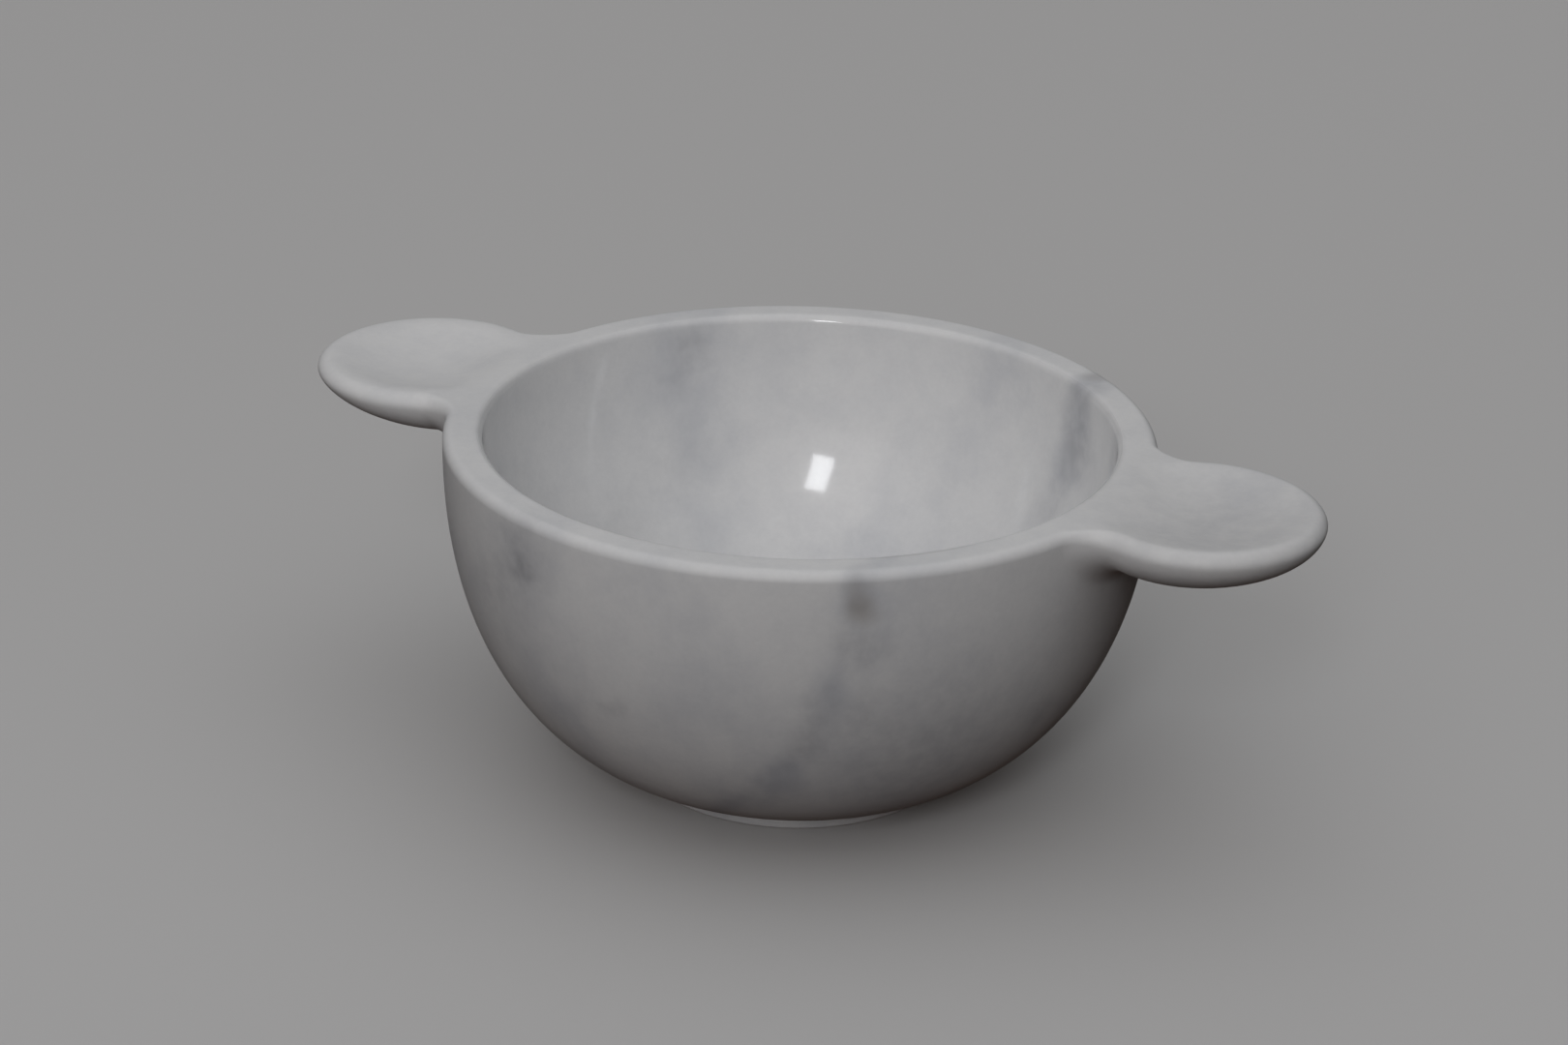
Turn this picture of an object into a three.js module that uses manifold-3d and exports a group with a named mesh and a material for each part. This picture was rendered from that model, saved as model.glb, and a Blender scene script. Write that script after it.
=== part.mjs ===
// A marble shaving bowl: a turned body on a low foot, with two dished ear handles level with its rim.
// Millimetres, +Z up. The origin is the centre of the foot's underside, and the handles lie along X.
// The bowl is one block of stone, divided here into its four natural regions.

import * as THREE from "three";
import { mergeVertices } from "three/addons/utils/BufferGeometryUtils.js";
import Module from "manifold-3d";

// Driving dimensions

const RIM_RADIUS = 70; // outside of the rim
const HEIGHT = 72.2; // foot to rim
const RIM_WALL = 7.8; // stone at the rim
const BASE_STONE = 11; // stone under the middle of the hollow, foot included
const OUTER_EDGE = 2.1; // rounding of the rim's outer edge
const INNER_EDGE = 1.4; // rounding of the rim's inner edge

const BODY_DEPTH = 70.5; // from the start of the rim's rounding to where the full curve would close
const BODY_FLANK_POWER = 2.9; // above 2, the flank stays upright for longer than a sphere's
const BODY_BASE_POWER = 2.24; // above 2, the bottom is flatter than a sphere's
const HOLLOW_FLANK_POWER = 2.6;
const HOLLOW_BASE_POWER = 2.2;

const FOOT_RADIUS = 32; // the foot reaches up to where the body is as wide
const FOOT_EDGE = 0.5; // rounding of the foot's lower edge

const EAR_CENTRE = 83; // bowl axis to the middle of an ear's round end
const EAR_RADIUS = 23.8;
const EAR_FILLET = 7; // where the ear's outline runs into the rim
const EAR_TOP_EDGE = 3; // rounding of the ear's upper edge
const EAR_THICKNESS = 13; // at the rim, before the dish is cut
const EAR_UNDER_POWER = 2.1; // above 2, the underside is flatter than an ellipse

const DISH_START = 69.4; // bowl axis to the inner end of a dish
const DISH_DEPTH = 2.6;

// The two hand-cut ears are not quite alike
const RIGHT_EAR = { tipShare: 0.84, dishRadius: 20.8 }; // tipShare: thickness at the tip over that at the rim
const LEFT_EAR = { tipShare: 0.55, dishRadius: 18.9 };

const REGION_GAP = 0.3; // clearance between two regions of the block

// Fineness of the facets

const TURN_STEPS = 64; // round the bowl
const CURVE_STEPS = 13; // along a flank
const EDGE_STEPS = 4; // round a rim edge
const DISH_TURN_STEPS = 48;
const DISH_CURVE_STEPS = 8;
const FILLET_STEPS = 8;
const ROUND_END_STEPS = 30;
const UNDER_STEPS = 8; // from an ear's side to the middle of its underside

const QUARTER = Math.PI / 2;
const EAR_ROOT = RIM_RADIUS - 3 * RIM_WALL; // how far in an ear's blank starts, before it is trimmed
const UNDER_LAST_ANGLE = 1.3; // an ear's underside ends in a flat face here, short of a point

const wasm = await Module();
wasm.setup();

// Solids and geometry

function toSolid(geometry) {
  const plain = geometry.clone();
  plain.deleteAttribute("normal");
  plain.deleteAttribute("uv");
  const merged = mergeVertices(plain, 1e-4);
  const vertProperties = new Float32Array(merged.attributes.position.array);
  const triVerts = new Uint32Array(merged.index.array);
  return new wasm.Manifold(new wasm.Mesh({ numProp: 3, vertProperties, triVerts }));
}

function toGeometry(solid) {
  const mesh = solid.getMesh();
  const geometry = new THREE.BufferGeometry();
  geometry.setAttribute("position", new THREE.BufferAttribute(mesh.vertProperties, 3));
  geometry.setIndex(new THREE.BufferAttribute(mesh.triVerts, 1));
  geometry.computeVertexNormals();
  return geometry;
}

// A profile of (radius, height) points, turned about the Z axis.
function turned(profile, steps) {
  const geometry = new THREE.LatheGeometry(profile, steps);
  geometry.rotateX(QUARTER);
  return geometry;
}

// Points on a quarter of a superellipse: widest at height top, and closed at height top - depth.
function flank(radius, top, depth, flankPower, basePower, lastAngle) {
  const points = [];
  for (let i = 0; i <= CURVE_STEPS; i += 1) {
    const angle = (lastAngle * i) / CURVE_STEPS;
    const r = radius * Math.cos(angle) ** (2 / flankPower);
    const z = top - depth * Math.sin(angle) ** (2 / basePower);
    points.push(new THREE.Vector2(r, z));
  }
  return points;
}

// Points round a quarter circle, both ends included.
function quarterRound(centreR, centreZ, radius, startAngle) {
  const points = [];
  for (let i = 0; i <= EDGE_STEPS; i += 1) {
    const angle = startAngle + (QUARTER * i) / EDGE_STEPS;
    points.push(new THREE.Vector2(centreR + radius * Math.cos(angle), centreZ + radius * Math.sin(angle)));
  }
  return points;
}

// Body of the bowl

// The outside from the foot up to the start of the rim's rounding.
function outsideProfile() {
  const footAngle = Math.acos((FOOT_RADIUS / RIM_RADIUS) ** (BODY_FLANK_POWER / 2));
  const top = HEIGHT - OUTER_EDGE;
  return flank(RIM_RADIUS, top, BODY_DEPTH, BODY_FLANK_POWER, BODY_BASE_POWER, footAngle).reverse();
}

function bowlGeometry() {
  const outside = outsideProfile();
  const hollowRadius = RIM_RADIUS - RIM_WALL;
  const hollowTop = HEIGHT - INNER_EDGE;
  const hollowDepth = hollowTop - BASE_STONE;
  const hollow = flank(
    hollowRadius, hollowTop, hollowDepth, HOLLOW_FLANK_POWER, HOLLOW_BASE_POWER, QUARTER,
  );
  hollow[hollow.length - 1].x = 0;
  const profile = [
    new THREE.Vector2(0, outside[0].y),
    ...outside.slice(0, -1),
    ...quarterRound(RIM_RADIUS - OUTER_EDGE, HEIGHT - OUTER_EDGE, OUTER_EDGE, 0),
    ...quarterRound(hollowRadius + INNER_EDGE, HEIGHT - INNER_EDGE, INNER_EDGE, QUARTER),
    ...hollow.slice(1),
  ];
  return turned(profile, TURN_STEPS);
}

// The whole turned body without its hollow, larger by the gap: it trims the ears to the wall and rim.
function bodyCutter() {
  const outside = outsideProfile().map((point) => new THREE.Vector2(point.x + REGION_GAP, point.y));
  const edgeCentre = RIM_RADIUS - OUTER_EDGE;
  const profile = [
    new THREE.Vector2(0, outside[0].y),
    ...outside.slice(0, -1),
    ...quarterRound(edgeCentre, HEIGHT - OUTER_EDGE, OUTER_EDGE + REGION_GAP, 0),
    new THREE.Vector2(0, HEIGHT + REGION_GAP),
  ];
  return toSolid(turned(profile, TURN_STEPS));
}

function footGeometry() {
  const top = outsideProfile()[0].y - REGION_GAP;
  const profile = [
    new THREE.Vector2(0, 0),
    ...quarterRound(FOOT_RADIUS - FOOT_EDGE, FOOT_EDGE, FOOT_EDGE, -QUARTER),
    new THREE.Vector2(FOOT_RADIUS, top),
    new THREE.Vector2(0, top),
  ];
  return turned(profile, TURN_STEPS);
}

// Ear handles

// Points round an arc, without its last one.
function arc(centreX, centreY, radius, from, to, steps) {
  const points = [];
  for (let i = 0; i < steps; i += 1) {
    const angle = from + ((to - from) * i) / steps;
    points.push(new THREE.Vector2(centreX + radius * Math.cos(angle), centreY + radius * Math.sin(angle)));
  }
  return points;
}

// The outline seen from above, moved inwards by inset: a round end, and a hollow fillet on each side
// that touches the rim. It runs counterclockwise, from inside the bowl's wall and back into it.
function earOutline(inset) {
  const rimReach = RIM_RADIUS + EAR_FILLET;
  const earReach = EAR_RADIUS + EAR_FILLET;
  const cosine = (rimReach ** 2 + EAR_CENTRE ** 2 - earReach ** 2) / (2 * rimReach * EAR_CENTRE);
  const rimAngle = Math.acos(cosine);
  const filletX = rimReach * Math.cos(rimAngle);
  const filletY = rimReach * Math.sin(rimAngle);
  const earAngle = Math.atan2(filletY, filletX - EAR_CENTRE);
  const rimStart = Math.PI - rimAngle;
  const earStart = Math.PI - earAngle;
  const rootX = EAR_ROOT * Math.cos(rimAngle);
  const rootY = EAR_ROOT * Math.sin(rimAngle);
  return [
    new THREE.Vector2(rootX, -rootY),
    ...arc(filletX, -filletY, EAR_FILLET + inset, rimStart, earStart, FILLET_STEPS),
    ...arc(EAR_CENTRE, 0, EAR_RADIUS - inset, -earAngle, earAngle, ROUND_END_STEPS),
    ...arc(filletX, filletY, EAR_FILLET + inset, -earStart, -rimStart, FILLET_STEPS),
    new THREE.Vector2((RIM_RADIUS - inset) * Math.cos(rimAngle), (RIM_RADIUS - inset) * Math.sin(rimAngle)),
    new THREE.Vector2(rootX, rootY),
  ];
}

// The ear's edge from its upper face round to the middle of its underside, as (inset, depth) points.
function earEdge() {
  const top = quarterRound(EAR_TOP_EDGE, EAR_TOP_EDGE, EAR_TOP_EDGE, -QUARTER);
  const edge = top.map((point) => new THREE.Vector2(2 * EAR_TOP_EDGE - point.x, point.y));
  for (let i = 0; i <= UNDER_STEPS; i += 1) {
    const angle = (UNDER_LAST_ANGLE * i) / UNDER_STEPS;
    const inset = EAR_RADIUS * (1 - Math.cos(angle) ** (2 / EAR_UNDER_POWER));
    const fall = (EAR_THICKNESS - EAR_TOP_EDGE) * Math.sin(angle) ** (2 / EAR_UNDER_POWER);
    edge.push(new THREE.Vector2(inset, EAR_TOP_EDGE + fall));
  }
  return edge;
}

// An ear's thickness falls evenly from the rim to its tip.
function earTaper(x, tipShare) {
  const share = Math.max(0, (x - RIM_RADIUS) / (EAR_CENTRE + EAR_RADIUS - RIM_RADIUS));
  return 1 - (1 - tipShare) * share;
}

// The ear before it is dished and trimmed: one ring of points for each point of its edge.
function earBlank(tipShare) {
  const rings = earEdge().map(({ x: inset, y: depth }) => ({ depth, outline: earOutline(inset) }));
  const count = rings[0].outline.length;
  const positions = [];
  const triangles = [];
  for (const { depth, outline } of rings) {
    for (const { x, y } of outline) {
      positions.push(x, y, HEIGHT - depth * earTaper(x, tipShare));
    }
  }
  for (let ring = 0; ring + 1 < rings.length; ring += 1) {
    for (let i = 0; i < count; i += 1) {
      const upper = ring * count + i;
      const upperNext = ring * count + ((i + 1) % count);
      const lower = upper + count;
      const lowerNext = upperNext + count;
      triangles.push(upper, lower, lowerNext, upper, lowerNext, upperNext);
    }
  }
  const last = (rings.length - 1) * count;
  for (const [a, b, c] of THREE.ShapeUtils.triangulateShape(rings[0].outline, [])) {
    triangles.push(a, b, c);
  }
  for (const [a, b, c] of THREE.ShapeUtils.triangulateShape(rings[rings.length - 1].outline, [])) {
    triangles.push(last + a, last + c, last + b);
  }
  const geometry = new THREE.BufferGeometry();
  geometry.setAttribute("position", new THREE.Float32BufferAttribute(positions, 3));
  geometry.setIndex(triangles);
  return toSolid(geometry);
}

// The shallow dish for the thumb, as a lens standing half out of the ear's upper face.
function earDish(dishRadius) {
  const profile = [];
  for (let i = 0; i <= DISH_CURVE_STEPS; i += 1) {
    const share = i / DISH_CURVE_STEPS;
    profile.push(new THREE.Vector2(share, DISH_DEPTH * (share ** 2 - 1)));
  }
  profile.push(new THREE.Vector2(1, 1));
  profile.push(new THREE.Vector2(0, 1));
  const halfLength = (EAR_CENTRE + dishRadius - DISH_START) / 2;
  const geometry = turned(profile, DISH_TURN_STEPS);
  geometry.scale(halfLength, dishRadius, 1);
  geometry.translate(DISH_START + halfLength, 0, HEIGHT);
  return toSolid(geometry);
}

function earGeometry({ tipShare, dishRadius }) {
  return toGeometry(earBlank(tipShare).subtract(earDish(dishRadius)).subtract(bodyCutter()));
}

// Assembly

function marble(color, roughness) {
  return new THREE.MeshStandardMaterial({ color, roughness, metalness: 0 });
}

function region(name, geometry, material) {
  const mesh = new THREE.Mesh(geometry, material);
  mesh.name = name;
  return mesh;
}

const polishedMarble = marble(0xdcdbd7, 0.3);
const honedMarble = marble(0xd2d2d0, 0.5);

const bowl = region("bowl", bowlGeometry(), polishedMarble);
const foot = region("foot", footGeometry(), honedMarble);
const handleRight = region("handle_right", earGeometry(RIGHT_EAR), polishedMarble);
const handleLeft = region("handle_left", earGeometry(LEFT_EAR), polishedMarble);
handleLeft.rotation.z = Math.PI;

const shavingBowl = new THREE.Group();
shavingBowl.add(bowl, foot, handleRight, handleLeft);

export default shavingBowl;
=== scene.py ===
"""The looks of a marble shaving bowl: a turned body on a low foot, with two dished ear handles.

The stone's surfaces are built here as fine meshes, from nearly the same dimensions as the CAD solids,
and one procedural marble runs unbroken through all of them, because the real bowl is one block.
Lengths are in millimetres up to the point where a mesh, light or camera is made.
"""

import math

import bpy
import numpy as np
from mathutils import Matrix, Vector


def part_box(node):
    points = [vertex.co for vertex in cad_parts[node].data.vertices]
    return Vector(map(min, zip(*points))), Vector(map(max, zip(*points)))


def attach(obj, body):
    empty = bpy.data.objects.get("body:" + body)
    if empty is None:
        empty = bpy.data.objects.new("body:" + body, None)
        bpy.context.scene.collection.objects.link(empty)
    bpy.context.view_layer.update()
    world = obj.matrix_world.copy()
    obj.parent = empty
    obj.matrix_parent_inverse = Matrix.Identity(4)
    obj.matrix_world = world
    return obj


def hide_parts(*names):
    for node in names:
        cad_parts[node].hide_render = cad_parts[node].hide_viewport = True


MM = 0.001

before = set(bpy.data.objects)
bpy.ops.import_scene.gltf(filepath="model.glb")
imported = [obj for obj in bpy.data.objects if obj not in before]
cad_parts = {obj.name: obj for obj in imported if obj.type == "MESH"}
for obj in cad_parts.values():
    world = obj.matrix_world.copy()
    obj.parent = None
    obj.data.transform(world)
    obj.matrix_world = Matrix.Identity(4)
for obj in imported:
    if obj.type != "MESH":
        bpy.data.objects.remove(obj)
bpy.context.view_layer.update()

# ---------------------------------------------------------------------------------------------------
# Dimensions of the stone
# ---------------------------------------------------------------------------------------------------

bowl_low, bowl_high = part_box("bowl")
foot_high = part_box("foot")[1]

RIM_RADIUS = bowl_high[1] / MM
HEIGHT = bowl_high[2] / MM
FOOT_RADIUS = foot_high[0] / MM
FOOT_TOP = bowl_low[2] / MM

RIM_WALL = 7.8
BASE_STONE = 11.0
OUTER_EDGE = 2.1
INNER_EDGE = 1.8
BODY_DEPTH = 70.5
HOLLOW_RADIUS = RIM_RADIUS - RIM_WALL
BODY_FLANK_POWER = 2.9
BODY_BASE_POWER = 2.24
HOLLOW_FLANK_POWER = 2.6
HOLLOW_BASE_POWER = 2.2
FOOT_EDGE = 0.5
FOOT_COVE = 0.7

EAR_CENTRE = 83.0
EAR_RADIUS = 23.8
EAR_EDGE = 3.0
EAR_SIDE = 1.5
EAR_THICKNESS = 13.0
EAR_UNDER_POWER = 2.27
EAR_SIDE_FILLET = 6.5
EAR_UNDER_FILLET = 4.0
RIGHT_TIP_SHARE = 0.84
LEFT_TIP_SHARE = 0.55

# A dish deepens outward from the rim over its ramp, and inward from its round edge.
# Its blend rounds the place where the two slopes meet, and its softness rounds their upper ends.
DISH_START = 67.6
DISH_RAMP = 10.0
DISH_DEPTH = 2.5
DISH_BLEND = 0.5
DISH_SOFTNESS = 0.2
RIGHT_DISH_RADIUS = 20.8
LEFT_DISH_RADIUS = 19.0

# An ear's piece reaches into the body's wall and past the end of its fillet,
# and its skin covers the body's where the two run together.
ROOT_DEPTH = 2.6
OVERLAP = 0.8
SKIN = 0.004

BODY_STEPS = 512
FOOT_STEPS = 192
EAR_CELL = 0.55


# ---------------------------------------------------------------------------------------------------
# Mesh helpers
# ---------------------------------------------------------------------------------------------------


def stone_mesh(name, points, faces, normals):
    """A smooth mesh object from millimetre points, with a normal given for each point."""
    mesh = bpy.data.meshes.new(name)
    mesh.from_pydata((np.asarray(points) * MM).tolist(), [], faces)
    mesh.update()
    mesh.polygons.foreach_set("use_smooth", [True] * len(mesh.polygons))
    mesh.normals_split_custom_set_from_vertices(np.asarray(normals).tolist())
    piece = bpy.data.objects.new(name, mesh)
    bpy.context.scene.collection.objects.link(piece)
    return piece


def arc_points(centre_r, centre_z, radius, start, end, steps):
    """(radius, height) points round an arc, both ends included. Angles are in degrees."""
    angles = np.radians(np.linspace(start, end, steps + 1))
    return np.column_stack([centre_r + radius * np.cos(angles), centre_z + radius * np.sin(angles)])


def profile_normals(profile):
    """The outward unit normal at each point of a profile that runs up the outside and down the inside."""
    steps = np.diff(profile, axis=0)
    steps /= np.linalg.norm(steps, axis=1)[:, None]
    before = np.vstack([[1.0, 0.0], steps])
    after = np.vstack([steps, [-1.0, 0.0]])
    tangent = before + after
    normal = np.column_stack([tangent[:, 1], -tangent[:, 0]])
    return normal / np.linalg.norm(normal, axis=1)[:, None]


def turned(name, profile, steps, reshape=None):
    """A closed solid of revolution, reshaped a little if asked. The profile starts and ends on the axis."""
    bend = profile_normals(profile)
    angles = np.linspace(0, 2 * math.pi, steps, endpoint=False)
    ring = profile[1:-1]
    ring_bend = bend[1:-1]
    cosine = np.cos(angles)[None, :]
    sine = np.sin(angles)[None, :]

    def spread(radial, axial):
        wide = np.broadcast_to(axial[:, None], (len(axial), steps))
        return np.stack([radial[:, None] * cosine, radial[:, None] * sine, wide], axis=-1).reshape(-1, 3)

    points = spread(ring[:, 0], ring[:, 1])
    normals = spread(ring_bend[:, 0], ring_bend[:, 1])
    start = len(points)
    end = start + 1
    points = np.vstack([points, [0, 0, profile[0, 1]], [0, 0, profile[-1, 1]]])
    normals = np.vstack([normals, [0, 0, -1], [0, 0, 1]])
    if reshape:
        points, normals = reshape(points, normals)
    faces = []
    last = (len(ring) - 1) * steps
    for i in range(steps):
        j = (i + 1) % steps
        faces.append((start, j, i))
        faces.append((end, last + i, last + j))
        for base in range(0, last, steps):
            faces.append((base + i, base + j, base + steps + j, base + steps + i))
    return stone_mesh(name, points, faces, normals)


# ---------------------------------------------------------------------------------------------------
# The turned body and its foot
# ---------------------------------------------------------------------------------------------------


def flank(radius, top, depth, flank_power, base_power, last_angle, steps):
    """A quarter of a superellipse: widest at height top, and closed at height top - depth."""
    angle = np.linspace(0, last_angle, steps + 1)
    r = radius * np.cos(angle) ** (2 / flank_power)
    z = top - depth * np.sin(angle) ** (2 / base_power)
    return np.column_stack([r, z])


def body_radius(z):
    """The radius of the body's outside at a height."""
    fall = np.clip((HEIGHT - OUTER_EDGE - z) / BODY_DEPTH, 0, 1)
    return RIM_RADIUS * (1 - fall**BODY_BASE_POWER) ** (1 / BODY_FLANK_POWER)


def body_profile():
    """The body from the middle of its underside, over the rim, to the middle of the hollow."""
    cove_end = FOOT_RADIUS + FOOT_COVE
    foot_angle = math.acos((cove_end / RIM_RADIUS) ** (BODY_FLANK_POWER / 2))
    outside = flank(
        RIM_RADIUS, HEIGHT - OUTER_EDGE, BODY_DEPTH, BODY_FLANK_POWER, BODY_BASE_POWER, foot_angle, 80
    )[::-1]
    cove = arc_points(cove_end - 0.01, outside[0, 1] - FOOT_COVE, FOOT_COVE, 180, 105, 5)
    hollow_top = HEIGHT - INNER_EDGE
    hollow = flank(
        HOLLOW_RADIUS, hollow_top, hollow_top - BASE_STONE, HOLLOW_FLANK_POWER, HOLLOW_BASE_POWER,
        math.pi / 2, 60,
    )
    hollow[-1, 0] = 0
    rim_top = np.linspace(RIM_RADIUS - OUTER_EDGE, HOLLOW_RADIUS + INNER_EDGE, 9)[1:-1]
    return np.vstack([
        [0, cove[0, 1]],
        cove,
        outside[:-1],
        arc_points(RIM_RADIUS - OUTER_EDGE, HEIGHT - OUTER_EDGE, OUTER_EDGE, 0, 90, 12),
        np.column_stack([rim_top, np.full(len(rim_top), HEIGHT)]),
        arc_points(HOLLOW_RADIUS + INNER_EDGE, HEIGHT - INNER_EDGE, INNER_EDGE, 90, 180, 10),
        hollow[1:],
    ])


def foot_profile():
    """The foot's disc. It reaches a little way up inside the body, which hides its upper face."""
    return np.vstack([
        [0, 0],
        arc_points(FOOT_RADIUS - FOOT_EDGE, FOOT_EDGE, FOOT_EDGE, -90, 0, 8),
        [FOOT_RADIUS, FOOT_TOP],
        [0, FOOT_TOP],
    ])


# ---------------------------------------------------------------------------------------------------
# An ear handle, as the place where a distance function is zero
# ---------------------------------------------------------------------------------------------------


def ear_faces(x, y, z, tip_share):
    """Distance outside an ear's round side and underside, and how far its gradient leans outward.

    The ear is a spoon's back: round when seen from above, and thinner toward its tip.
    The second result is the outward part of the unit gradient, and the third is the downward part.
    """
    past_rim = np.clip((x - RIM_RADIUS) / (EAR_CENTRE + EAR_RADIUS - RIM_RADIUS), 0, 1)
    taper = 1 - (1 - tip_share) * past_rim
    swell = (EAR_THICKNESS - EAR_SIDE) * taper
    across = np.hypot(x - EAR_CENTRE, y) / EAR_RADIUS
    down = np.maximum((HEIGHT - EAR_SIDE * taper - z) / swell, 0)
    n = EAR_UNDER_POWER
    size = np.maximum((across**n + down**n) ** (1 / n), 1e-6)
    outward = (across / size) ** (n - 1) / EAR_RADIUS
    downward = (down / size) ** (n - 1) / swell
    slope = np.maximum(np.hypot(outward, downward), 0.5 / EAR_RADIUS)
    return (size - 1) / slope, outward / slope, downward / slope


def round_union(a, b, cosine, radius):
    """Two distances joined by a rolled fillet. The cosine is that between their gradients."""
    to_a = radius - a
    to_b = radius - b
    apart = np.sqrt(np.maximum(to_a**2 + to_b**2 - 2 * cosine * to_a * to_b, 0))
    sine = np.sqrt(np.maximum(1 - cosine**2, 1e-3))
    in_fillet = (to_a > cosine * to_b) & (to_b > cosine * to_a)
    return np.where(in_fillet, radius - apart / sine, np.minimum(a, b))


def round_cut(a, b, radius):
    """What two distances share, with the edge where they meet rounded to the radius."""
    inside = np.hypot(np.maximum(radius + a, 0), np.maximum(radius + b, 0))
    return np.minimum(-radius, np.maximum(a, b)) + inside


def dish_fall(x, y, dish_radius):
    """How far the ear's upper face lies below the rim: a shallow hollow that stops at the rim."""
    across = 1 - (np.hypot(x - EAR_CENTRE, y) / dish_radius) ** 2
    from_rim = (np.hypot(x, y) - DISH_START) / DISH_RAMP
    close = np.maximum(DISH_BLEND - np.abs(across - from_rim), 0)
    depth = np.minimum(across, from_rim) - close**2 / (4 * DISH_BLEND)
    upper_end = np.maximum(depth + DISH_SOFTNESS, 0) ** 2 / (4 * DISH_SOFTNESS)
    return DISH_DEPTH * np.where(depth > DISH_SOFTNESS, depth, upper_end)


def ear_stone(x, y, z, tip_share, dish_radius):
    """Distances outside the ear and body joined into one, the body's wall, and the end of the fillet."""
    ear, outward, downward = ear_faces(x, y, z, tip_share)
    from_axis = np.hypot(x, y)
    from_centre = np.maximum(np.hypot(x - EAR_CENTRE, y), 1e-6)
    cosine = outward * (x * (x - EAR_CENTRE) + y**2) / (from_axis * from_centre)
    fillet = EAR_SIDE_FILLET + (EAR_UNDER_FILLET - EAR_SIDE_FILLET) * downward**2
    wall = from_axis - body_radius(z)
    sides = round_union(wall, ear, cosine, fillet)
    top = z - HEIGHT + dish_fall(x, y, dish_radius)
    edge = OUTER_EDGE + (EAR_EDGE - OUTER_EDGE) * np.clip((from_axis - RIM_RADIUS) / 5, 0, 1)
    return round_cut(sides, top, edge) - SKIN, wall, ear - fillet * (1 - cosine)


def ear_piece(x, y, z, tip_share, dish_radius):
    """Distance outside an ear's piece: cut off inside the body's wall and past the end of the fillet."""
    stone, wall, past_fillet = ear_stone(x, y, z, tip_share, dish_radius)
    return np.maximum(np.maximum(stone, -ROOT_DEPTH - wall), past_fillet - OVERLAP)


def slope_of(distance, points, step=0.02):
    """The gradient of a function of x, y and z at each point."""
    columns = []
    for axis in range(3):
        shift = np.zeros(3)
        shift[axis] = step
        ahead = distance(*(points + shift).T)
        behind = distance(*(points - shift).T)
        columns.append((ahead - behind) / (2 * step))
    return np.column_stack(columns)


def skin_of(distance, low, high, cell):
    """Points and quads where a distance function is zero: one point in each grid cell that it crosses."""
    axes = [np.arange(a, b + cell, cell) for a, b in zip(low, high)]
    grid = np.meshgrid(*axes, indexing="ij")
    value = distance(*grid)
    inside = value < 0
    shape = np.array(value.shape) - 1
    total = np.zeros((*shape, 3))
    count = np.zeros(shape)
    offsets = [(0, 0), (0, 1), (1, 0), (1, 1)]
    for axis in range(3):
        others = [k for k in range(3) if k != axis]
        for first, second in offsets:
            near = [slice(0, n) for n in shape]
            for other, shift in zip(others, (first, second)):
                near[other] = slice(shift, shape[other] + shift)
            far = list(near)
            far[axis] = slice(1, shape[axis] + 1)
            a = value[tuple(near)]
            b = value[tuple(far)]
            crossed = (a < 0) != (b < 0)
            share = np.where(crossed, a / np.where(crossed, a - b, 1), 0)
            spot = np.stack([g[tuple(near)] for g in grid], axis=-1)
            spot[..., axis] += share * cell
            total += spot * crossed[..., None]
            count += crossed
    used = count > 0
    index = np.full(shape, -1)
    index[used] = np.arange(used.sum())
    points = total[used] / count[used][:, None]
    quads = []
    for axis in range(3):
        u, v = [(1, 2), (2, 0), (0, 1)][axis]
        near = [slice(1, n) for n in shape]
        near[axis] = slice(0, shape[axis])
        far = list(near)
        far[axis] = slice(1, shape[axis] + 1)
        enters = inside[tuple(far)] & ~inside[tuple(near)]
        leaves = inside[tuple(near)] & ~inside[tuple(far)]
        corners = []
        for shift_u, shift_v in ((1, 1), (0, 1), (0, 0), (1, 0)):
            part = [slice(None)] * 3
            part[axis] = slice(0, shape[axis])
            part[u] = slice(1 - shift_u, shape[u] - shift_u)
            part[v] = slice(1 - shift_v, shape[v] - shift_v)
            corners.append(index[tuple(part)])
        quads.append(np.stack([c[leaves] for c in corners], axis=-1))
        quads.append(np.stack([c[enters] for c in corners[::-1]], axis=-1))
    return points, np.vstack(quads)


def ear_shape(tip_share, dish_radius):
    """Points, faces and normals of an ear on +X. Its normals run on smoothly into the body's."""

    def piece(x, y, z):
        return ear_piece(x, y, z, tip_share, dish_radius)

    def stone(x, y, z):
        return ear_stone(x, y, z, tip_share, dish_radius)[0]

    # A box round the ear and its fillets, with a little room to spare
    low = (RIM_RADIUS * 0.8, -RIM_RADIUS * 0.55, HEIGHT - EAR_THICKNESS - EAR_UNDER_FILLET - 3)
    high = (EAR_CENTRE + EAR_RADIUS + 1, RIM_RADIUS * 0.55, HEIGHT + 1)
    points, quads = skin_of(piece, low, high, EAR_CELL)

    # Each pass moves the points closer to the surface
    for _ in range(5):
        slope = slope_of(piece, points)
        steepness = np.maximum((slope**2).sum(axis=1), 0.1)
        points = points - slope * (piece(*points.T) / steepness)[:, None]
    slope = slope_of(stone, points)
    normals = slope / np.linalg.norm(slope, axis=1)[:, None]
    return points, quads.tolist(), normals


def both_dishes(x, y, z):
    """How far the two dishes lower the rim's top. It is the same at every height z."""
    return dish_fall(x, y, RIGHT_DISH_RADIUS) + dish_fall(-x, y, LEFT_DISH_RADIUS)


def dished_rim(points, normals):
    """The body's points and normals, with the rim's top lowered where the ears' dishes begin on it."""
    top = points[:, 2] > HEIGHT - OUTER_EDGE
    normals[top] += slope_of(both_dishes, points[top]) * normals[top, 2:]
    normals[top] /= np.linalg.norm(normals[top], axis=1)[:, None]
    points[top, 2] -= both_dishes(*points[top].T)
    return points, normals


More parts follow.
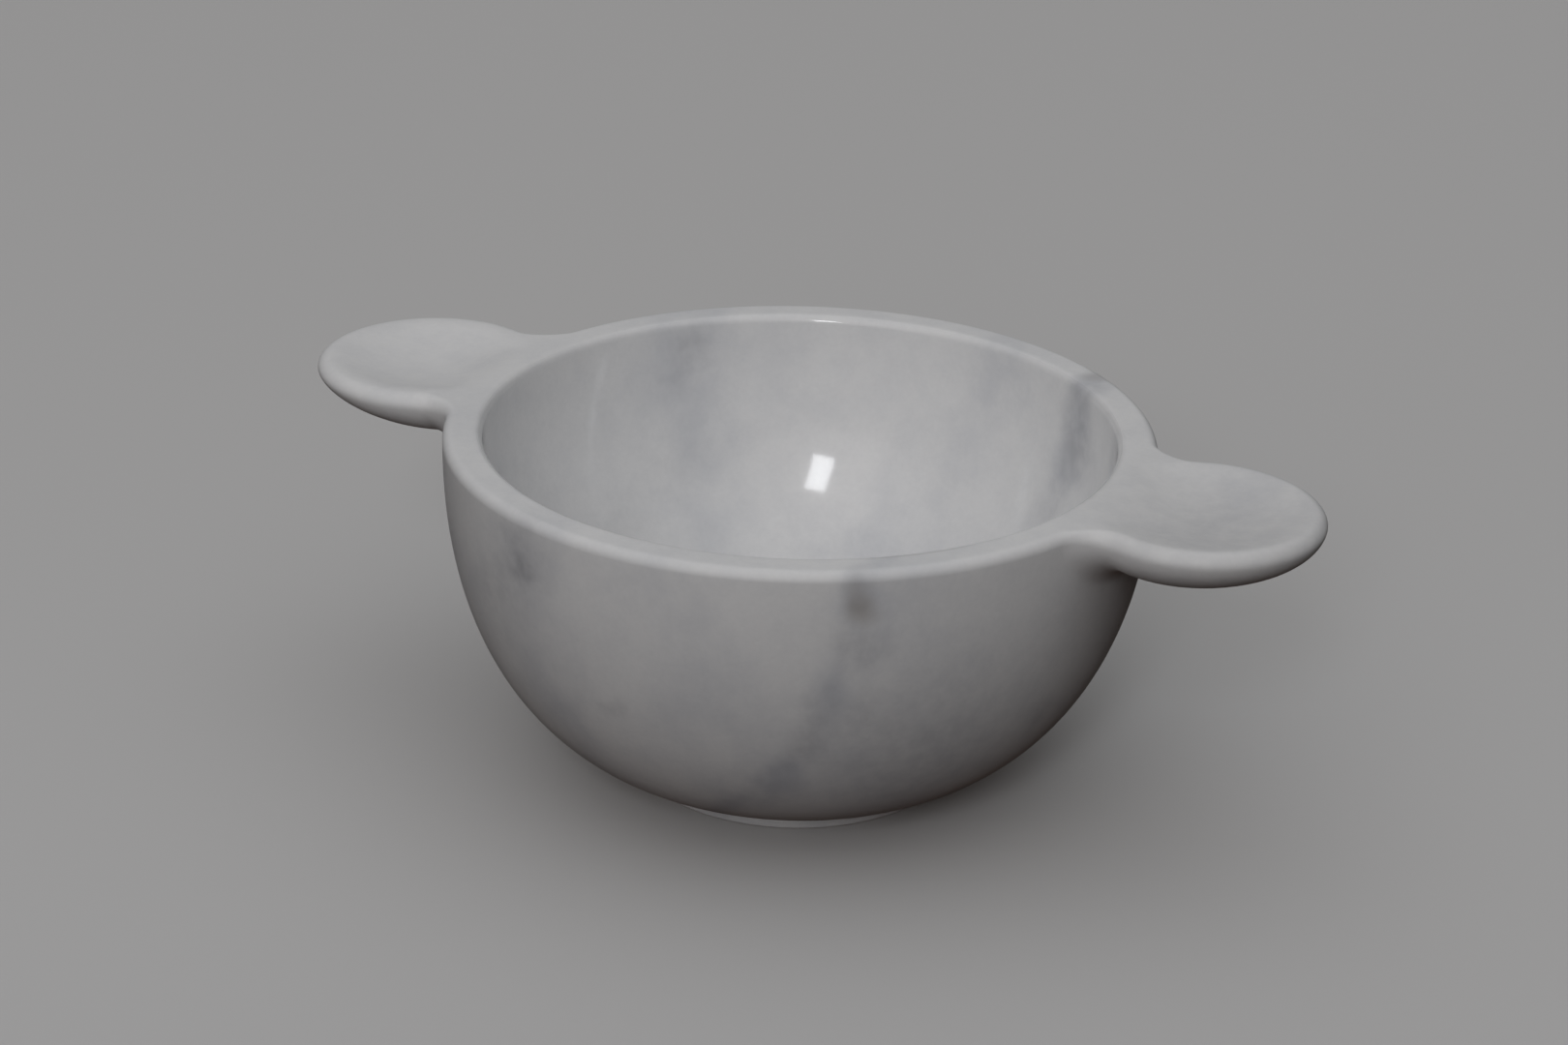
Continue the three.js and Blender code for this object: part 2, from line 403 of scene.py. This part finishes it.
def make_ears():
    """Two hand-cut ears that are not quite alike. The one on -X is turned half round."""
    right = stone_mesh("ear_right_stone", *ear_shape(RIGHT_TIP_SHARE, RIGHT_DISH_RADIUS))
    points, faces, normals = ear_shape(LEFT_TIP_SHARE, LEFT_DISH_RADIUS)
    half_turn = np.array([-1, -1, 1])
    left = stone_mesh("ear_left_stone", points * half_turn, faces, normals * half_turn)
    return right, left


# ---------------------------------------------------------------------------------------------------
# Node helpers. Every value may be a number or another node's output.
# ---------------------------------------------------------------------------------------------------


def feed(tree, socket, value):
    if isinstance(value, bpy.types.NodeSocket):
        tree.links.new(value, socket)
    else:
        socket.default_value = value


def maths(tree, operation, *values, clamp=False):
    node = tree.nodes.new("ShaderNodeMath")
    node.operation = operation
    node.use_clamp = clamp
    for socket, value in zip(node.inputs, values):
        feed(tree, socket, value)
    return node.outputs[0]


def vectors(tree, operation, *values, scale=None):
    node = tree.nodes.new("ShaderNodeVectorMath")
    node.operation = operation
    for socket, value in zip(node.inputs, values):
        feed(tree, socket, value)
    if scale is not None:
        feed(tree, node.inputs["Scale"], scale)
    return node.outputs["Value" if operation in ("DISTANCE", "LENGTH", "DOT_PRODUCT") else "Vector"]


def axes_of(tree, position):
    """The x, y and z of a position."""
    split = tree.nodes.new("ShaderNodeSeparateXYZ")
    tree.links.new(position, split.inputs[0])
    return split.outputs


def radius_of(tree, position):
    """Distance from the bowl's axis."""
    return vectors(tree, "LENGTH", vectors(tree, "MULTIPLY", position, (1, 1, 0)))


def noise(tree, position, size, detail, roughness=0.5, output="Fac"):
    """Soft random values near 0.5, whose blobs are about the size across, in millimetres."""
    node = tree.nodes.new("ShaderNodeTexNoise")
    feed(tree, node.inputs["Vector"], position)
    node.inputs["Scale"].default_value = 1 / size
    node.inputs["Detail"].default_value = detail
    node.inputs["Roughness"].default_value = roughness
    return node.outputs[output]


def ease(tree, value, start, end, low=0.0, high=1.0):
    """From low to high as the value goes from start to end, with a soft start and end."""
    node = tree.nodes.new("ShaderNodeMapRange")
    node.interpolation_type = "SMOOTHSTEP"
    feed(tree, node.inputs["Value"], value)
    for name, number in (("From Min", start), ("From Max", end), ("To Min", low), ("To Max", high)):
        feed(tree, node.inputs[name], number)
    return node.outputs["Result"]


def blend(tree, share, first, second):
    node = tree.nodes.new("ShaderNodeMix")
    node.data_type = "RGBA"
    feed(tree, node.inputs["Factor"], share)
    feed(tree, node.inputs["A"], first)
    feed(tree, node.inputs["B"], second)
    return next(socket for socket in node.outputs if socket.type == "RGBA")


# ---------------------------------------------------------------------------------------------------
# Marble. The veins are sheets that run right through the block, so both faces of a wall show them.
# ---------------------------------------------------------------------------------------------------

WHITE_STONE = (0.80, 0.80, 0.80, 1)
CLOUD_STONE = (0.56, 0.575, 0.61, 1)
GREY_STONE = (0.33, 0.335, 0.36, 1)
RUST_STONE = (0.34, 0.315, 0.29, 1)

# Soft marks in the block, and broad patches of painted shade: centre, radius and strength
GREY_MARKS_AND_SHADE = (
    ((38.2, -58.0, 56.4), 5.5, 0.30),
    ((31.5, -59.4, 44.2), 4.5, 0.16),
    ((38.6, -54.8, 43.0), 5.0, 0.14),
    ((30.2, -58.0, 37.4), 5.0, 0.18),
    ((28.6, -56.8, 32.5), 4.5, 0.15),
    ((17.5, -53.5, 20.5), 8.0, 0.16),
    ((-26.4, -64.6, 63.6), 8.5, 0.30),
    ((-26.8, -64.2, 61.0), 4.0, 0.32),
    ((-32.0, -61.5, 53.5), 11.0, 0.20),
    ((-9.6, -64.8, 37.8), 2.4, 0.20),
    ((-6.1, -65.3, 38.0), 2.8, 0.25),
    ((-44.8, 43.0, 66.3), 5.0, 0.30),
    ((-46.4, 40.6, 60.2), 5.5, 0.15),
    ((-44.6, 33.5, 45.0), 10.0, 0.07),
    ((-50.5, 16.9, 34.7), 9.0, 0.06),
    ((40.7, 47.1, 71.0), 4.5, 0.30),
    ((40.2, 47.2, 64.1), 6.0, 0.42),
    ((42.4, 44.5, 58.6), 6.0, 0.32),
    ((38.7, 46.2, 52.2), 6.0, 0.26),
    ((35.2, 45.4, 43.1), 7.0, 0.20),
    ((55.6, 27.7, 67.4), 6.0, 0.16),
    ((60.0, -20.0, 32.4), 4.0, 0.22),
    # The last three are broad painted shade, not marks in the stone: low on the right front under the right
    # ear, over the right ear, and in the bottom of the hollow
    ((46.0, -44.0, 31.0), 22.0, 0.30),
    ((88.0, -4.0, 68.0), 26.0, 0.17),
    ((-6.0, 28.0, 16.0), 25.0, 0.24),
)
RUST_MARKS_AND_SHADE = (
    ((38.5, -58.5, 68.8), 3.4, 0.30),
    ((39.4, -57.7, 64.6), 3.4, 0.60),
    ((41.8, 53.2, 72.2), 3.2, 0.38),
    # The last is warm painted shade over the right ear, not rust
    ((88.0, -4.0, 68.0), 26.0, 0.15),
)
HAIRLINE_RADIUS = 63.9
HAIRLINE_CENTRE = (44.5, -45.5, 72.2)

# Two veins that cross the block from front to back: x in the middle, slant, and bend with depth
RIGHT_VEIN = (40.5, 0.025, -0.009)
LEFT_VEIN = (-38.0, -0.186, 0.005)
VEIN_TOP = 69.0


def block_position(tree):
    """The place in the block, in millimetres, plain and gently stirred."""
    coordinates = tree.nodes.new("ShaderNodeTexCoord").outputs["Object"]
    plain = vectors(tree, "SCALE", coordinates, scale=1 / MM)
    wander = vectors(tree, "SUBTRACT", noise(tree, plain, 17, 3, 0.55, "Color"), (0.5, 0.5, 0.5))
    stirred = vectors(tree, "ADD", plain, vectors(tree, "SCALE", wander, scale=9))
    return plain, stirred


def sheet(tree, beside, half_width, position, patch_size, least, most):
    """A soft vein: strongest where the distance beside it is 0, and patchy along its length."""
    core = ease(tree, maths(tree, "ABSOLUTE", beside), 0, half_width, 1, 0)
    patches = ease(tree, noise(tree, position, patch_size, 2), 0.38, 0.62, least, most)
    return maths(tree, "MULTIPLY", core, patches)


def marks(tree, position, places):
    """Soft round patches, added up: marks in the stone, and broad patches of painted shade."""
    total = 0.0
    for centre, radius, strength in places:
        away = vectors(tree, "DISTANCE", position, centre)
        total = maths(tree, "ADD", total, ease(tree, away, 0, radius * 1.5, strength, 0))
    return total


def beside_vein(tree, position, vein):
    """Distance along x from the middle of a vein."""
    middle, slant, bend = vein
    x, y, z = axes_of(tree, position)
    below = maths(tree, "SUBTRACT", VEIN_TOP, z)
    straight = maths(tree, "SUBTRACT", x, maths(tree, "MULTIPLY_ADD", y, slant, middle))
    return maths(tree, "MULTIPLY_ADD", maths(tree, "MULTIPLY", below, below), -bend, straight)


def veins(tree, plain, stirred):
    """How far the stone goes toward CLOUD_STONE, GREY_STONE and RUST_STONE, each from 0 to 1. The last two
    also carry broad patches of painted shade.
    """
    right = beside_vein(tree, stirred, RIGHT_VEIN)
    left = beside_vein(tree, stirred, LEFT_VEIN)
    clouds = maths(
        tree, "ADD",
        sheet(tree, right, 6.5, plain, 14, 0.15, 0.60),
        sheet(tree, left, 13, plain, 20, 0.05, 0.32),
    )
    streaks = vectors(tree, "MULTIPLY", stirred, (1, 0.45, 0.55))
    haze = ease(tree, noise(tree, streaks, 26, 4, 0.55), 0.45, 0.75, 0, 0.42)
    mottle = ease(tree, noise(tree, plain, 7, 3, 0.6), 0.35, 0.7, 0, 0.14)
    clouded = maths(tree, "ADD", clouds, maths(tree, "ADD", haze, mottle), clamp=True)

    thread = sheet(tree, maths(tree, "ADD", right, 1.0), 3.6, plain, 9, 0.0, 0.08)
    broken = ease(tree, noise(tree, plain, 3.5, 3), 0.3, 0.7, 0.6, 1.1)
    # Grey thread and marks, with the broad patches of painted shade among the marks
    grey = maths(tree, "MULTIPLY", maths(tree, "ADD", thread, marks(tree, stirred, GREY_MARKS_AND_SHADE)), broken)
    # The rust marks come back with warm painted shade over the right ear among them
    return clouded, maths(tree, "MINIMUM", grey, 0.9), marks(tree, stirred, RUST_MARKS_AND_SHADE)


def hairline(tree, plain):
    """A fine natural crack that follows the near rim for a little way."""
    beside = maths(tree, "ABSOLUTE", maths(tree, "SUBTRACT", radius_of(tree, plain), HAIRLINE_RADIUS))
    near = ease(tree, vectors(tree, "DISTANCE", plain, HAIRLINE_CENTRE), 5, 13, 1, 0)
    return maths(tree, "MULTIPLY", ease(tree, beside, 0, 0.6, 0.22, 0), near)


def polish(tree, plain):
    """0 in the hollow, and 1 on the outside and the rim. The hollow's own curve divides them."""
    across = maths(tree, "DIVIDE", radius_of(tree, plain), HOLLOW_RADIUS)
    wide = maths(tree, "POWER", across, HOLLOW_FLANK_POWER)
    down = maths(tree, "MAXIMUM", maths(tree, "SUBTRACT", HEIGHT, axes_of(tree, plain)[2]), 0)
    deep = maths(tree, "POWER", maths(tree, "DIVIDE", down, HEIGHT - BASE_STONE), HOLLOW_BASE_POWER)
    return ease(tree, maths(tree, "ADD", wide, deep), 1.0, 1.08)


def marble(name, hollow_roughness, outside_roughness, brightness=1.0):
    """White marble with soft grey veins, a fine grain, broad patches of painted shade, and its own polish
    inside and outside the hollow.
    """
    material = bpy.data.materials.new(name)
    material.use_nodes = True
    tree = material.node_tree
    shader = tree.nodes["Principled BSDF"]
    plain, stirred = block_position(tree)
    clouded, grey, rust_and_shade = veins(tree, plain, stirred)
    color = blend(tree, clouded, WHITE_STONE, CLOUD_STONE)
    # Grey veins and marks, with broad painted shade low on the right front, over the right ear and in the
    # hollow's bottom
    color = blend(tree, grey, color, GREY_STONE)
    # Rust marks and the hairline, with warm painted shade over the right ear
    color = blend(tree, maths(tree, "ADD", rust_and_shade, hairline(tree, plain)), color, RUST_STONE)
    grain = maths(tree, "MULTIPLY_ADD", noise(tree, plain, 1.1, 3, 0.7), 0.10, 0.95)
    color = vectors(tree, "SCALE", color, scale=maths(tree, "MULTIPLY", grain, brightness))
    tree.links.new(color, shader.inputs["Base Color"])

    roughness = maths(
        tree, "MULTIPLY_ADD", polish(tree, plain), outside_roughness - hollow_roughness, hollow_roughness
    )
    uneven = maths(tree, "MULTIPLY_ADD", noise(tree, plain, 15, 3), 0.03, -0.015)
    tree.links.new(maths(tree, "ADD", roughness, uneven), shader.inputs["Roughness"])
    shader.inputs["IOR"].default_value = 1.50
    bump = tree.nodes.new("ShaderNodeBump")
    bump.inputs["Strength"].default_value = 1.0
    bump.inputs["Distance"].default_value = 0.02 * MM
    tree.links.new(noise(tree, plain, 6, 2), bump.inputs["Height"])
    tree.links.new(bump.outputs["Normal"], shader.inputs["Normal"])
    return material


# ---------------------------------------------------------------------------------------------------
# Stage, lights and camera
# ---------------------------------------------------------------------------------------------------

# Soft light from the room: azimuth, elevation, sharpness and colour of each glow.
# Azimuth 0 is in front, on -Y, and 90 is on +X. Only the last glow shines up from below the floor.
GLOWS = (
    (0, 90, 3, (0.76, 0.765, 0.775)),
    (6, 30, 8, (1.14, 1.09, 1.07)),
    (205, 6, 5, (0.30, 0.30, 0.30)),
    (0, -90, 1, (0.025, 0.013, 0.009)),
)
# The other glows fade in from the first to the second of these, which are sines of an elevation.
HORIZON = (-0.05, 0.20)

# One tall soft panel, which leans a little
WINDOW_AZIMUTH = 15.5
WINDOW_ELEVATION = 30.5
WINDOW_LEAN = -9
WINDOW_DISTANCE = 2000 * MM
WINDOW_WIDTH = 280 * MM
WINDOW_HEIGHT = 550 * MM
WINDOW_POWER = 5.2
WINDOW_COLOR = (0.95, 0.97, 1)

FLOOR_HALF_SIZE = 6000 * MM
FLOOR_COLOR = (0.62, 0.615, 0.61, 1)

CAMERA_AZIMUTH = math.radians(24.42)
CAMERA_REACH = 664.2 * MM
CAMERA_HEIGHT = 341.6 * MM
CAMERA_YAW = math.radians(0.24)
CAMERA_PITCH = math.radians(23.59)
CAMERA_ROLL = math.radians(1.35)
CAMERA_LENS = 83.9


def make_floor():
    """A plain pale floor that throws no light back up, because the real bowl stands on dark wood."""
    size = FLOOR_HALF_SIZE
    mesh = bpy.data.meshes.new("floor")
    corners = [(-size, -size, 0), (size, -size, 0), (size, size, 0), (-size, size, 0)]
    mesh.from_pydata(corners, [], [(0, 1, 2, 3)])
    floor = bpy.data.objects.new("floor", mesh)
    bpy.context.scene.collection.objects.link(floor)
    material = bpy.data.materials.new("floor_paper")
    material.use_nodes = True
    shader = material.node_tree.nodes["Principled BSDF"]
    shader.inputs["Base Color"].default_value = FLOOR_COLOR
    shader.inputs["Roughness"].default_value = 0.9
    shader.inputs["Specular IOR Level"].default_value = 0.2
    mesh.materials.append(material)
    floor.visible_diffuse = False
    floor.visible_glossy = False


def way_to(azimuth, elevation):
    """The unit vector from the bowl toward a light."""
    a = math.radians(azimuth)
    e = math.radians(elevation)
    return Vector((math.sin(a) * math.cos(e), -math.cos(a) * math.cos(e), math.sin(e)))


def make_window():
    """The panel that faces the bowl and shows as the bright patch in its hollow."""
    light = bpy.data.lights.new("window", "AREA")
    light.shape = "RECTANGLE"
    light.size = WINDOW_WIDTH
    light.size_y = WINDOW_HEIGHT
    light.energy = WINDOW_POWER
    light.color = WINDOW_COLOR
    lamp = bpy.data.objects.new("window", light)
    bpy.context.scene.collection.objects.link(lamp)
    way = way_to(WINDOW_AZIMUTH, WINDOW_ELEVATION)
    place = way * WINDOW_DISTANCE + Vector((0, 0, HEIGHT * MM / 2))
    turn = way.to_track_quat("Z", "Y").to_matrix().to_4x4()
    lean = Matrix.Rotation(math.radians(WINDOW_LEAN), 4, "Z")
    lamp.matrix_world = Matrix.Translation(place) @ turn @ lean


def make_room():
    """A world with no image: a few broad glows, and darkness below the floor."""
    world = bpy.data.worlds.new("room")
    world.use_nodes = True
    tree = world.node_tree
    way = tree.nodes.new("ShaderNodeTexCoord").outputs["Generated"]
    above = ease(tree, axes_of(tree, way)[2], *HORIZON)
    total = (0, 0, 0)
    for azimuth, elevation, sharpness, color in GLOWS:
        facing = vectors(tree, "DOT_PRODUCT", way, way_to(azimuth, elevation))
        strength = maths(tree, "POWER", maths(tree, "MAXIMUM", facing, 0), sharpness)
        if elevation > 0:
            strength = maths(tree, "MULTIPLY", strength, above)
        total = vectors(tree, "ADD", total, vectors(tree, "SCALE", color, scale=strength))
    tree.links.new(total, tree.nodes["Background"].inputs["Color"])
    bpy.context.scene.world = world
    bpy.context.scene.view_settings.view_transform = "Standard"


def make_camera():
    camera = bpy.data.cameras.new("camera")
    camera.lens = CAMERA_LENS
    camera.sensor_width = 36
    camera.clip_start = 0.01
    holder = bpy.data.objects.new("camera", camera)
    bpy.context.scene.collection.objects.link(holder)
    place = Vector((
        CAMERA_REACH * math.sin(CAMERA_AZIMUTH), -CAMERA_REACH * math.cos(CAMERA_AZIMUTH), CAMERA_HEIGHT
    ))
    turn = (
        Matrix.Rotation(CAMERA_AZIMUTH + CAMERA_YAW, 4, "Z")
        @ Matrix.Rotation(math.pi / 2 - CAMERA_PITCH, 4, "X")
        @ Matrix.Rotation(CAMERA_ROLL, 4, "Z")
    )
    holder.matrix_world = Matrix.Translation(place) @ turn
    bpy.context.scene.camera = holder


# ---------------------------------------------------------------------------------------------------
# Assembly
# ---------------------------------------------------------------------------------------------------

make_camera()
make_floor()
make_window()
make_room()

body = turned("bowl_stone", body_profile(), BODY_STEPS, dished_rim)
foot = turned("foot_stone", foot_profile(), FOOT_STEPS)
ear_right, ear_left = make_ears()

polished = marble("polished_marble", hollow_roughness=0.05, outside_roughness=0.55)
honed = marble("honed_marble", hollow_roughness=0.40, outside_roughness=0.40, brightness=0.97)
for piece, node in ((body, "bowl"), (foot, "foot"), (ear_right, "handle_right"), (ear_left, "handle_left")):
    piece.data.materials.append(honed if node == "foot" else polished)
    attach(piece, "root")
    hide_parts(node)
